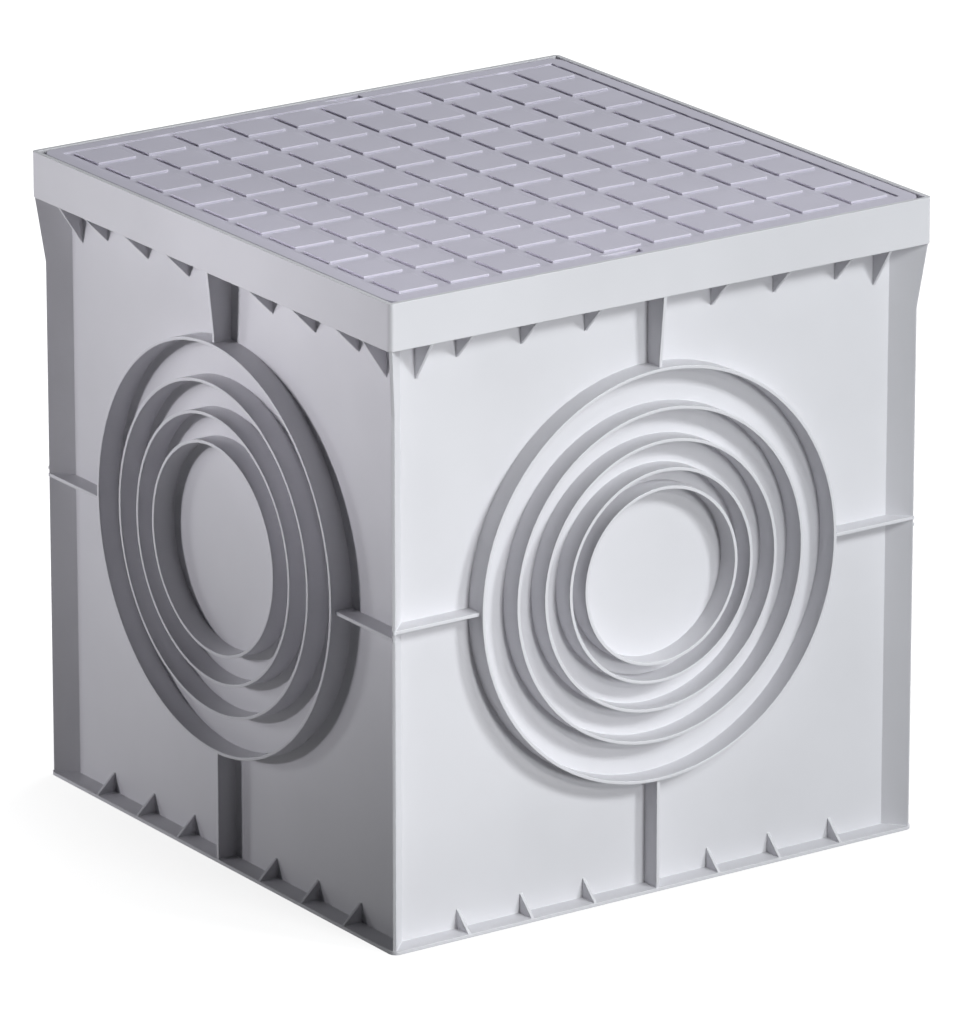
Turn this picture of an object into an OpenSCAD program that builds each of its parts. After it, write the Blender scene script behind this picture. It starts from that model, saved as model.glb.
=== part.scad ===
// Square drain inspection chamber with a lift-out lid.
//
// The chamber is one moulding: an open box under a wider collar that holds
// the lid, with a thin base flange, diagonal fins at the corners and pipe
// rings on its four sides. A ring marks where the wall is sawn out for a
// pipe of one size. The front and the back carry five rings, the left and
// the right carry four.
//
// Origin: centre of the base, on the ground. +Z is up and -Y is the front.

/* [Chamber] */
// Width of the chamber, across the outside of the collar
collar_w = 400; // [380:1:480]
// Height from the ground to the rim of the collar
total_h = 412; // [400:1:520]
// How far the collar stands out from the side walls
collar_step = 17.5; // [15:0.5:24]
// Thickness of the side walls
wall_t = 3; // [2:0.1:5]
// Thickness of the floor
floor_t = 3; // [2.4:0.1:6]

/* [Collar] */
// Height of the collar
collar_h = 29.5; // [25:0.5:40]
// Thickness of the collar's upright wall
collar_t = 3; // [1.8:0.1:3.6]
// Thickness of the ledge that the lid rests on
ledge_t = 2.5; // [1.6:0.1:4]
// Outside radius of the collar's upright corners
collar_r = 3; // [2.2:0.1:8]

/* [Base flange] */
// How far the flange stands out from the side walls
flange_out = 13.5; // [9:0.5:18]
// Thickness of the flange
flange_t = 2.2; // [1.6:0.1:4]
// Radius of the flange's corners
flange_r = 5; // [2:0.5:10]

/* [Pipe rings] */
// Height of the rings' axis above the ground
ring_axis_z = 205; // [160:1:210]
// How far the rings stand out from the walls
ring_h = 15; // [13.5:0.5:18]
// Wall thickness of the rings
ring_t = 2; // [1.4:0.1:3]
// Inside diameter of the ring for a 100 mm pipe, front and back only
ring_d100 = 109.6; // [100:0.1:120]
// Inside diameter of the ring for a 125 mm pipe
ring_d125 = 132.6; // [127:0.1:145]
// Inside diameter of the ring for a 160 mm pipe
ring_d160 = 169; // [155:0.1:180]
// Inside diameter of the ring for a 200 mm pipe
ring_d200 = 209.6; // [190:0.1:225]
// Inside diameter of the ring for a 250 mm pipe
ring_d250 = 260.2; // [240:0.1:270]

/* [Ribs and fins] */
// Thickness of the ribs
rib_t = 2.2; // [1.4:0.1:4]
// How far the level ribs stand out from the walls
level_rib_out = 12; // [6:0.5:13]
// Height of the level ribs on the front and the back, to their middle
level_rib_z = 205; // [150:0.5:240]
// Height of the level ribs on the left and the right, to their middle
side_rib_z = 200.5; // [150:0.5:240]
// How far the upper upright ribs stand out where they meet the outer ring
rib_foot_out = 12.5; // [6:0.5:13]
// Height of the upper upright ribs' straight foot
rib_foot_h = 5; // [2:0.5:20]
// Thickness of the corner fins
fin_t = 2.2; // [1.4:0.1:4]
// Height over which a fin flares out to the collar's corner
fin_flare_h = 42; // [20:1:80]

/* [Gussets] */
// Thickness of the gussets
gusset_t = 2; // [1.4:0.1:4]
// Spacing of the gussets along a wall
gusset_pitch = 46.7; // [40:0.1:70]
// Height of the gussets under the collar
collar_gusset_h = 17.5; // [8:0.5:20]
// Height of the last gusset under the collar, next to each corner
corner_gusset_h = 26; // [10:0.5:40]
// Distance from the wall's corner to that last gusset
corner_gusset_in = 13; // [8:0.5:25]
// Height of the gussets above the base flange
base_gusset_h = 12.5; // [6:0.5:20]

/* [Lid] */
// Clearance between the lid and the collar, on each side
lid_gap = 1.4; // [0.5:0.1:2]
// How far the lid's pads lie below the rim of the collar
lid_sink = 0; // [0:0.1:2]
// Thickness of the lid's plate between the pads
plate_t = 3; // [2:0.1:5]
// Radius of the lid's corners
lid_r = 9; // [2:0.5:12]
// Width of the raised border round the lid
border_w = 10; // [9:0.5:16]
// Width of the anti-slip pads
pad_w = 27.6; // [20:0.1:32]
// Spacing of the pads
pad_pitch = 37; // [34:0.5:50]
// Height of the pads
pad_h = 1.5; // [0.8:0.1:2.5]
// Height of the border
border_h = 1; // [0.6:0.1:2.5]
// Least width of the channel between the border and the pads
channel_w = 5; // [3:0.5:10]
// Thickness of the lid's skirt
skirt_t = 2.5; // [1.6:0.1:4]
// Thickness of the ribs under the lid
lid_rib_t = 2; // [1.4:0.1:4]
// Height of the ribs under the lid
lid_rib_h = 14; // [6:0.5:16]

/* [Lifting slots] */
// Length of a slot
slot_len = 29; // [20:0.5:34]
// Width of a slot
slot_w = 6; // [4.5:0.1:6.4]
// Length of the opening at the deep end of a slot
slot_hole_len = 5.5; // [5:0.1:8]
// Distance from the lid's middle to the middle of a slot
slot_x = 26; // [18:0.5:80]
// Distance from the lid's edge to the centre line of a slot
slot_in = 5.8; // [5.8:0.1:6.4]
// Depth of a slot's ramp where it meets the opening
slot_deep = 2; // [1:0.1:2.5]

/* [Hidden] */
$fn = 96;
// Depth that one form reaches into another where they join
joint_in = 1;
// Distance that ribs, fins and gussets stay back from the edge they run to
edge_back = 0.6;
wall_half = collar_w / 2 - collar_step;
flange_half = wall_half + flange_out;
collar_z = total_h - collar_h;
ledge_z = collar_z + ledge_t;
ring_bores = [ring_d100, ring_d125, ring_d160, ring_d200, ring_d250];
side_ring_bores = [ring_d125, ring_d160, ring_d200, ring_d250];
outer_ring_r = ring_d250 / 2 + ring_t;
// Share of a corner radius that a diagonal loses at the corner
corner_loss = 1 - sqrt(0.5);
fin_half = flange_half - flange_r * corner_loss - edge_back;
fin_top_half = collar_w / 2 - collar_r * corner_loss - edge_back;
// Gussets on each side of a wall's middle, short of the corner gusset
gusset_n = floor((wall_half - corner_gusset_in - 3 * gusset_t) / gusset_pitch);
lid_half = collar_w / 2 - collar_t - lid_gap;
lid_z = total_h - lid_sink;
plate_z = lid_z - max(pad_h, border_h) - plate_t;
border_z = plate_z + plate_t + border_h;
border_half = lid_half - border_w;
// Pads in a row, as many as the border leaves room for
pad_n = floor((2 * (border_half - channel_w) - pad_w) / pad_pitch) + 1;
// The lid's ribs lie under every second channel between the pads
lid_rib_pitch = 2 * pad_pitch;
lid_rib_n = floor((lid_half - skirt_t - pad_w) / lid_rib_pitch);
body_color = [0.80, 0.80, 0.84];
lid_color = [0.74, 0.74, 0.79];

// Square outline with round corners
module round_square(half, r) {
    square([2 * half, 2 * (half - r)], center = true);
    square([2 * (half - r), 2 * half], center = true);
    for (x = [-1, 1], y = [-1, 1])
        translate([x * (half - r), y * (half - r)]) circle(r = r);
}

// Plate square to the front wall at x, drawn as [out from the wall, height]
module upright_plate(x, thick) {
    translate([x, -wall_half, 0])
        rotate([90, 0, -90])
            linear_extrude(thick, center = true) children();
}

// Open box with its collar, ledge and base flange
module shell() {
    inner = wall_half - wall_t;
    difference() {
        union() {
            translate([-wall_half, -wall_half, 0])
                cube([2 * wall_half, 2 * wall_half, collar_z + joint_in]);
            translate([0, 0, collar_z])
                linear_extrude(collar_h) round_square(collar_w / 2, collar_r);
            linear_extrude(flange_t) round_square(flange_half, flange_r);
        }
        translate([-inner, -inner, floor_t])
            cube([2 * inner, 2 * inner, total_h]);
        translate([0, 0, ledge_z])
            linear_extrude(collar_h)
                round_square(collar_w / 2 - collar_t, max(collar_r - collar_t, 0.2));
    }
}

// Concentric rings on the front wall, one for each pipe size
module pipe_rings(bores) {
    translate([0, joint_in - wall_half, ring_axis_z])
        rotate([90, 0, 0])
            for (d = bores)
                difference() {
                    cylinder(h = ring_h + joint_in, d = d + 2 * ring_t);
                    translate([0, 0, -joint_in]) cylinder(h = ring_h + 3 * joint_in, d = d);
                }
}

// Ribs of the front wall: upright ones above and below the rings, and level
// ones that run from the outer ring to the corner fins
module wall_ribs(level_z) {
    ring_top = ring_axis_z + outer_ring_r - ring_t / 2;
    ring_foot = ring_axis_z - outer_ring_r + ring_t / 2;
    collar_out = collar_step - edge_back;
    upright_plate(0, rib_t)
        polygon([
            [-joint_in, ring_top],
            [rib_foot_out, ring_top],
            [rib_foot_out, ring_top + rib_foot_h],
            [collar_out, collar_z],
            [collar_out, collar_z + joint_in],
            [-joint_in, collar_z + joint_in]
        ]);
    upright_plate(0, rib_t)
        polygon([
            [-joint_in, flange_t / 2],
            [flange_out - edge_back, flange_t / 2],
            [flange_out - edge_back, ring_foot],
            [-joint_in, ring_foot]
        ]);
    for (side = [0, 1])
        mirror([side, 0, 0])
            translate([0, 0, level_z - rib_t / 2])
                linear_extrude(rib_t)
                    polygon([
                        [outer_ring_r - ring_t / 2, joint_in - wall_half],
                        [wall_half - joint_in, joint_in - wall_half],
                        [wall_half + level_rib_out, -wall_half - level_rib_out],
                        [outer_ring_r - ring_t / 2, -wall_half - level_rib_out]
                    ]);
}

// Gusset that hangs from the collar's ledge
module collar_gusset(x, height) {
    out = collar_step - edge_back;
    upright_plate(x, gusset_t)
        polygon([
            [-joint_in, collar_z + joint_in],
            [out, collar_z + joint_in],
            [out, collar_z],
            [0, collar_z - height],
            [-joint_in, collar_z - height]
        ]);
}

// Gusset that stands on the base flange
module base_gusset(x) {
    out = flange_out - edge_back;
    upright_plate(x, gusset_t)
        polygon([
            [-joint_in, flange_t / 2],
            [out, flange_t / 2],
            [out, flange_t],
            [0, flange_t + base_gusset_h],
            [-joint_in, flange_t + base_gusset_h]
        ]);
}

// Rows of gussets along the top and the foot of the front wall
module wall_gussets() {
    for (side = [-1, 1]) {
        for (i = [1 : gusset_n]) {
            collar_gusset(side * i * gusset_pitch, collar_gusset_h);
            base_gusset(side * i * gusset_pitch);
        }
        collar_gusset(side * (wall_half - corner_gusset_in), corner_gusset_h);
    }
}

// Diagonal fin on one corner, from the flange to the collar's corner
module corner_fin() {
    root = wall_half - joint_in;
    rotate([90, 0, 45])
        linear_extrude(fin_t, center = true)
            polygon([
                [sqrt(2) * root, flange_t / 2],
                [sqrt(2) * fin_half, flange_t / 2],
                [sqrt(2) * fin_half, collar_z - fin_flare_h],
                [sqrt(2) * fin_top_half, collar_z],
                [sqrt(2) * fin_top_half, collar_z + joint_in],
                [sqrt(2) * root, collar_z + joint_in]
            ]);
}

// The chamber, moulded in one piece
module chamber_body() {
    color(body_color) {
        shell();
        for (turn = [0, 180])
            rotate(turn) {
                pipe_rings(ring_bores);
                wall_ribs(level_rib_z);
                wall_gussets();
            }
        for (turn = [90, 270])
            rotate(turn) {
                pipe_rings(side_ring_bores);
                wall_ribs(side_rib_z);
                wall_gussets();
            }
        for (turn = [0 : 90 : 270])
            rotate(turn) corner_fin();
    }
}

// Raised pattern of the lid: a border round a field of square pads
module tread() {
    root_z = plate_z + plate_t / 2;
    translate([0, 0, root_z])
        linear_extrude(plate_t / 2 + border_h)
            difference() {
                round_square(lid_half, lid_r);
                square(2 * border_half, center = true);
            }
    translate([0, 0, root_z])
        linear_extrude(plate_t / 2 + pad_h)
            for (i = [0 : pad_n - 1], j = [0 : pad_n - 1])
                translate([(i - (pad_n - 1) / 2) * pad_pitch, (j - (pad_n - 1) / 2) * pad_pitch])
                    square(pad_w, center = true);
}

// Skirt that stands on the ledge, and the ribs inside it
module lid_underside() {
    inner = lid_half - skirt_t;
    translate([0, 0, ledge_z])
        linear_extrude(plate_z - ledge_z + joint_in)
            difference() {
                round_square(lid_half, lid_r);
                round_square(inner, max(lid_r - skirt_t, 0.2));
            }
    for (i = [-lid_rib_n : lid_rib_n], turn = [0, 90])
        rotate(turn)
            translate([i * lid_rib_pitch - lid_rib_t / 2, -inner - joint_in, plate_z - lid_rib_h])
                cube([lid_rib_t, 2 * (inner + joint_in), lid_rib_h + joint_in]);
}

// Space cut out for a lifting slot: a ramp down to an opening at its right end
module slot_cut() {
    ramp = slot_len - slot_hole_len;
    rotate([90, 0, 0])
        linear_extrude(slot_w, center = true)
            polygon([
                [-slot_len / 2, border_z],
                [ramp - slot_len / 2, border_z - slot_deep],
                [ramp - slot_len / 2, plate_z - joint_in],
                [slot_len / 2, plate_z - joint_in],
                [slot_len / 2, border_z + joint_in],
                [-slot_len / 2, border_z + joint_in]
            ]);
}

// The lid, with a slot near its front edge and one near its back edge
module lid() {
    color(lid_color)
        difference() {
            union() {
                translate([0, 0, plate_z])
                    linear_extrude(plate_t) round_square(lid_half, lid_r);
                tread();
                lid_underside();
            }
            for (side = [-1, 1])
                translate([side * slot_x, side * (lid_half - slot_in), 0]) slot_cut();
        }
}

chamber_body();
lid();
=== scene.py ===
"""Studio picture of a square drain inspection chamber with its lift-out lid.

The shapes come from the CAD frame. This script adds the plastics, the floor,
the lamps and the camera. Lengths and places are in metres, angles in degrees
and lamp powers in watts. Azimuth 0 is in front of the object, on the -Y side,
and azimuth 90 is on its +X side.
"""

import math

import bpy
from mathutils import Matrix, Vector


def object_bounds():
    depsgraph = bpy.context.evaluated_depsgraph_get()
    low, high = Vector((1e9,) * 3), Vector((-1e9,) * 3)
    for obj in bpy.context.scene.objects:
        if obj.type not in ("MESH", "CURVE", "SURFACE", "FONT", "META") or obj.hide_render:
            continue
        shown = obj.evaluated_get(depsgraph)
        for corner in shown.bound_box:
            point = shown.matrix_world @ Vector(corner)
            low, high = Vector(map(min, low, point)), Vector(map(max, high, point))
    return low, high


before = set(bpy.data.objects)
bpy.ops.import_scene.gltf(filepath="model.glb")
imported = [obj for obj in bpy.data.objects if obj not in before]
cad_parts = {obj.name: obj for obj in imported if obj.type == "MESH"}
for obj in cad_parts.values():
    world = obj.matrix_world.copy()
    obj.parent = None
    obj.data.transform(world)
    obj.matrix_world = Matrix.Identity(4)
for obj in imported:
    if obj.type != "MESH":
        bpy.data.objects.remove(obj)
cad_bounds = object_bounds()

# Half the object's width, and the height of its top
half_width = (cad_bounds[1][0] - cad_bounds[0][0]) / 2
top_z = cad_bounds[1][2]

# Camera: its lens and sensor in millimetres, and the point it looks at, given
# from the middle of the object's plan
CAMERA_AZIMUTH = -34.5
CAMERA_ELEVATION = 18.3
CAMERA_DISTANCE = 5.5
LENS = 330.0
SENSOR = 36.0
TARGET_OFFSET = (0.0012, -0.0008)
TARGET_Z = 0.192

# Lamps: the softboxes look at one point, and each snoot stands off its own target
SOFTBOX_TARGET = (0.0, 0.0, 0.2)
SOFTBOX_DISTANCE = 3.0
SNOOT_DISTANCE = 2.5
SNOOT_RADIUS = 0.12
COOL_WHITE = (0.958, 0.99, 1.0)
LILAC = (0.955, 0.945, 1.0)
WHITE = (1.0, 1.0, 1.0)

# World: what lights the object from all round
WORLD_COLOR = (0.86, 0.98, 1.0)
WORLD_STRENGTH = 0.01

# Floor: half its width, its paint as the camera sees it and as it lights the
# object, and the white glow that takes over from the paint further out
FLOOR_HALF = 14.0
PAINT_SEEN = (0.80, 0.80, 0.80)
PAINT_BOUNCE = (0.18, 0.18, 0.19)
GLOW_STRENGTH = 1.25
GLOW_SHARE_NEAR = 0.68
FADE_START = 0.20
FADE_END = 0.50

# Plastic: refractive index, how edges are rounded, and the greatest share of painted highlight on
# them
PLASTIC_IOR = 1.49
EDGE_RADIUS = 0.0007
EDGE_SAMPLES = 6
EDGE_HIGHLIGHT_SHARE = 0.8


def outward(azimuth, elevation):
    """Unit vector from the object towards a place at these angles."""
    a = math.radians(azimuth)
    e = math.radians(elevation)
    return Vector((math.sin(a) * math.cos(e), -math.cos(a) * math.cos(e), math.sin(e)))


def put(name, data, location, target):
    """Add a camera or lamp at a place, looking at a target."""
    obj = bpy.data.objects.new(name, data)
    bpy.context.scene.collection.objects.link(obj)
    obj.location = location
    obj.rotation_euler = (Vector(target) - obj.location).to_track_quat("-Z", "Y").to_euler()
    return obj


# Camera and light

def add_camera():
    """Camera at the photograph's angle, with no shift."""
    low, high = cad_bounds
    x = (low[0] + high[0]) / 2 + TARGET_OFFSET[0]
    y = (low[1] + high[1]) / 2 + TARGET_OFFSET[1]
    target = Vector((x, y, TARGET_Z))
    data = bpy.data.cameras.new("camera")
    data.sensor_fit = "HORIZONTAL"
    data.sensor_width = SENSOR
    data.lens = LENS
    place = target + outward(CAMERA_AZIMUTH, CAMERA_ELEVATION) * CAMERA_DISTANCE
    bpy.context.scene.camera = put("camera", data, place, target)


def add_softbox(name, azimuth, elevation, size, power):
    """Round lamp that looks at the middle of the chamber."""
    data = bpy.data.lights.new(name, "AREA")
    data.shape = "DISK"
    data.size = size
    data.energy = power
    data.color = COOL_WHITE
    place = Vector(SOFTBOX_TARGET) + outward(azimuth, elevation) * SOFTBOX_DISTANCE
    put(name, data, place, SOFTBOX_TARGET)


def add_snoot(name, target, azimuth, elevation, beam, power, color):
    """Soft-edged beam that lightens one part of a wall and leaves no highlight."""
    data = bpy.data.lights.new(name, "SPOT")
    data.spot_size = math.radians(beam)
    data.spot_blend = 1.0
    data.shadow_soft_size = SNOOT_RADIUS
    data.energy = power
    data.color = color
    place = Vector(target) + outward(azimuth, elevation) * SNOOT_DISTANCE
    snoot = put(name, data, place, target)
    snoot.visible_glossy = False


def add_softboxes():
    """Three lamps in front, a high one at the back right, and a low one at the back left."""
    add_softbox("key", azimuth=27.0, elevation=31.0, size=0.5, power=38.2)
    add_softbox("high_front", azimuth=8.0, elevation=40.0, size=0.45, power=14.5)
    add_softbox("low_front", azimuth=6.0, elevation=8.0, size=0.45, power=24.5)
    add_softbox("top_back", azimuth=120.0, elevation=60.0, size=0.8, power=31.0)
    add_softbox("left_back", azimuth=-140.0, elevation=5.0, size=0.45, power=10.4)


def add_snoots():
    """Lilac beams on the far and near parts of the left wall, and a white one on the near corner."""
    far = (-half_width, 0.42, top_z + 0.03)
    near = (-half_width, -0.125, top_z)
    corner = (-half_width, -half_width, top_z - 0.245)
    add_snoot("left_far", far, azimuth=-110.0, elevation=2.0, beam=33.0, power=152.0, color=LILAC)
    add_snoot("left_near", near, azimuth=-124.0, elevation=9.0, beam=12.5, power=109.0, color=LILAC)
    add_snoot("near_corner", corner, azimuth=5.0, elevation=25.0, beam=17.5, power=54.0, color=WHITE)


def set_world():
    """Faint light all round. Camera rays see plain white."""
    world = bpy.data.worlds.new("studio")
    bpy.context.scene.world = world
    world.use_nodes = True
    nt = world.node_tree
    nt.nodes.clear()
    out = nt.nodes.new("ShaderNodeOutputWorld")
    light = nt.nodes.new("ShaderNodeBackground")
    light.inputs["Color"].default_value = (*WORLD_COLOR, 1.0)
    light.inputs["Strength"].default_value = WORLD_STRENGTH
    seen = nt.nodes.new("ShaderNodeBackground")
    seen.inputs["Color"].default_value = (*WHITE, 1.0)
    seen.inputs["Strength"].default_value = 1.0
    path = nt.nodes.new("ShaderNodeLightPath")
    mix = nt.nodes.new("ShaderNodeMixShader")
    nt.links.new(path.outputs["Is Camera Ray"], mix.inputs["Fac"])
    nt.links.new(light.outputs[0], mix.inputs[1])
    nt.links.new(seen.outputs[0], mix.inputs[2])
    nt.links.new(mix.outputs[0], out.inputs["Surface"])


# Node helpers

def noise(nt, coord, scale, detail):
    """Noise over the object's own coordinates."""
    tex = nt.nodes.new("ShaderNodeTexNoise")
    tex.inputs["Scale"].default_value = scale
    tex.inputs["Detail"].default_value = detail
    nt.links.new(coord.outputs["Object"], tex.inputs["Vector"])
    return tex.outputs["Fac"]


def spread(nt, value, low, high, start=0.0, end=1.0, curve="LINEAR"):
    """Map a value from low..high to start..end."""
    node = nt.nodes.new("ShaderNodeMapRange")
    node.interpolation_type = curve
    node.inputs["From Min"].default_value = low
    node.inputs["From Max"].default_value = high
    node.inputs["To Min"].default_value = start
    node.inputs["To Max"].default_value = end
    nt.links.new(value, node.inputs["Value"])
    return node.outputs["Result"]


def blend(nt, share, first, second):
    """Mix two colours. The first may be the output of another node."""
    node = nt.nodes.new("ShaderNodeMix")
    node.data_type = "RGBA"
    nt.links.new(share, node.inputs["Factor"])
    if isinstance(first, bpy.types.NodeSocket):
        nt.links.new(first, node.inputs["A"])
    else:
        node.inputs["A"].default_value = (*first, 1.0)
    node.inputs["B"].default_value = (*second, 1.0)
    return node.outputs["Result"]


def calculate(nt, operation, first, second):
    """Join two values with a math node."""
    node = nt.nodes.new("ShaderNodeMath")
    node.operation = operation
    nt.links.new(first, node.inputs[0])
    nt.links.new(second, node.inputs[1])
    return node.outputs[0]


def bump(nt, height, normal, strength, distance):
    """Tilt a normal by a height."""
    node = nt.nodes.new("ShaderNodeBump")
    node.inputs["Strength"].default_value = strength
    node.inputs["Distance"].default_value = distance
    nt.links.new(height, node.inputs["Height"])
    nt.links.new(normal, node.inputs["Normal"])
    return node.outputs["Normal"]


def shade(color, factor):
    """A colour made lighter or darker, and never over 1."""
    return [min(1.0, c * factor) for c in color]


# Floor

def floor_glow_share(nt, path):
    """Share of the glow: for camera and glossy rays only, and growing outward from the chamber."""
    coord = nt.nodes.new("ShaderNodeTexCoord")
    reach = nt.nodes.new("ShaderNodeVectorMath")
    reach.operation = "LENGTH"
    nt.links.new(coord.outputs["Object"], reach.inputs[0])
    distance = reach.outputs["Value"]
    fade = spread(nt, distance, FADE_START, FADE_END, GLOW_SHARE_NEAR, 1.0, "SMOOTHSTEP")
    seen = calculate(nt, "MAXIMUM", path.outputs["Is Camera Ray"], path.outputs["Is Glossy Ray"])
    return calculate(nt, "MULTIPLY", seen, fade)


def floor_material():
    """White floor: paint that takes the shadow near the chamber, plain white further out."""
    mat = bpy.data.materials.new("floor_white")
    mat.use_nodes = True
    nt = mat.node_tree
    nt.nodes.clear()
    out = nt.nodes.new("ShaderNodeOutputMaterial")
    path = nt.nodes.new("ShaderNodeLightPath")
    paint = nt.nodes.new("ShaderNodeBsdfDiffuse")
    tone = blend(nt, path.outputs["Is Camera Ray"], PAINT_BOUNCE, PAINT_SEEN)
    nt.links.new(tone, paint.inputs["Color"])
    glow = nt.nodes.new("ShaderNodeEmission")
    glow.inputs["Color"].default_value = (*WHITE, 1.0)
    glow.inputs["Strength"].default_value = GLOW_STRENGTH
    mix = nt.nodes.new("ShaderNodeMixShader")
    nt.links.new(floor_glow_share(nt, path), mix.inputs["Fac"])
    nt.links.new(paint.outputs[0], mix.inputs[1])
    nt.links.new(glow.outputs[0], mix.inputs[2])
    nt.links.new(mix.outputs[0], out.inputs["Surface"])
    return mat


def add_floor():
    """One wide square under the object."""
    mesh = bpy.data.meshes.new("floor")
    r = FLOOR_HALF
    mesh.from_pydata([(-r, -r, 0), (r, -r, 0), (r, r, 0), (-r, r, 0)], [], [(0, 1, 2, 3)])
    floor = bpy.data.objects.new("floor", mesh)
    bpy.context.scene.collection.objects.link(floor)
    floor.data.materials.append(floor_material())


# Plastics

def rounded_edge_and_highlight(nt):
    """Normal rounded over the edges, and how near a point is to an edge, which sets the share of
    painted highlight there.
    """
    rounded = nt.nodes.new("ShaderNodeBevel")
    rounded.samples = EDGE_SAMPLES
    rounded.inputs["Radius"].default_value = EDGE_RADIUS
    flat = nt.nodes.new("ShaderNodeNewGeometry")
    dot = nt.nodes.new("ShaderNodeVectorMath")
    dot.operation = "DOT_PRODUCT"
    nt.links.new(rounded.outputs["Normal"], dot.inputs[0])
    nt.links.new(flat.outputs["Normal"], dot.inputs[1])
    # Share of painted highlight, growing towards each edge
    highlight_share = spread(nt, dot.outputs["Value"], low=0.995, high=0.80, end=EDGE_HIGHLIGHT_SHARE)
    return rounded.outputs["Normal"], highlight_share


def moulded_plastic(name, color, edge_highlight_color, rough):
    """Moulded polypropylene: mottled, with a fine skin, slack flats, and soft edges that carry a
    painted highlight.
    """
    mat = bpy.data.materials.new(name)
    mat.use_nodes = True
    nt = mat.node_tree
    bsdf = nt.nodes["Principled BSDF"]
    bsdf.inputs["IOR"].default_value = PLASTIC_IOR
    coord = nt.nodes.new("ShaderNodeTexCoord")
    normal, highlight_share = rounded_edge_and_highlight(nt)

    mottle = spread(nt, noise(nt, coord, scale=9.0, detail=3.0), low=0.3, high=0.7)
    tone = blend(nt, mottle, shade(color, 0.95), shade(color, 1.03))
    # Painted highlight: the colour turns pale near every edge
    tone = blend(nt, highlight_share, tone, edge_highlight_color)
    nt.links.new(tone, bsdf.inputs["Base Color"])

    cloud = noise(nt, coord, scale=34.0, detail=4.0)
    sheen = spread(nt, cloud, low=0.0, high=1.0, start=rough - 0.06, end=rough + 0.08)
    nt.links.new(sheen, bsdf.inputs["Roughness"])

    skin = noise(nt, coord, scale=900.0, detail=2.0)
    normal = bump(nt, skin, normal, strength=0.10, distance=0.0002)
    slack = noise(nt, coord, scale=6.0, detail=1.0)
    normal = bump(nt, slack, normal, strength=0.25, distance=0.0015)
    nt.links.new(normal, bsdf.inputs["Normal"])
    return mat


def chamber_plastic():
    """Light grey with a touch of lavender."""
    color = (0.705, 0.698, 0.727)
    # Pale colour painted on the edges as a highlight
    edge_highlight_color = (0.90, 0.90, 0.93)
    return moulded_plastic("chamber_plastic", color, edge_highlight_color, rough=0.46)


def lid_plastic():
    """A little darker, more lavender and duller than the chamber."""
    color = (0.655, 0.625, 0.72)
    # Pale colour painted on the edges as a highlight
    edge_highlight_color = (0.88, 0.87, 0.93)
    return moulded_plastic("lid_plastic", color, edge_highlight_color, rough=0.50)


def dress(node, mat):
    """Give a CAD node its one material."""
    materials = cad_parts[node].data.materials
    materials.clear()
    materials.append(mat)


bpy.context.scene.view_settings.view_transform = "Standard"
add_camera()
add_softboxes()
add_snoots()
set_world()
add_floor()
dress("chamber_body", chamber_plastic())
dress("lid", lid_plastic())
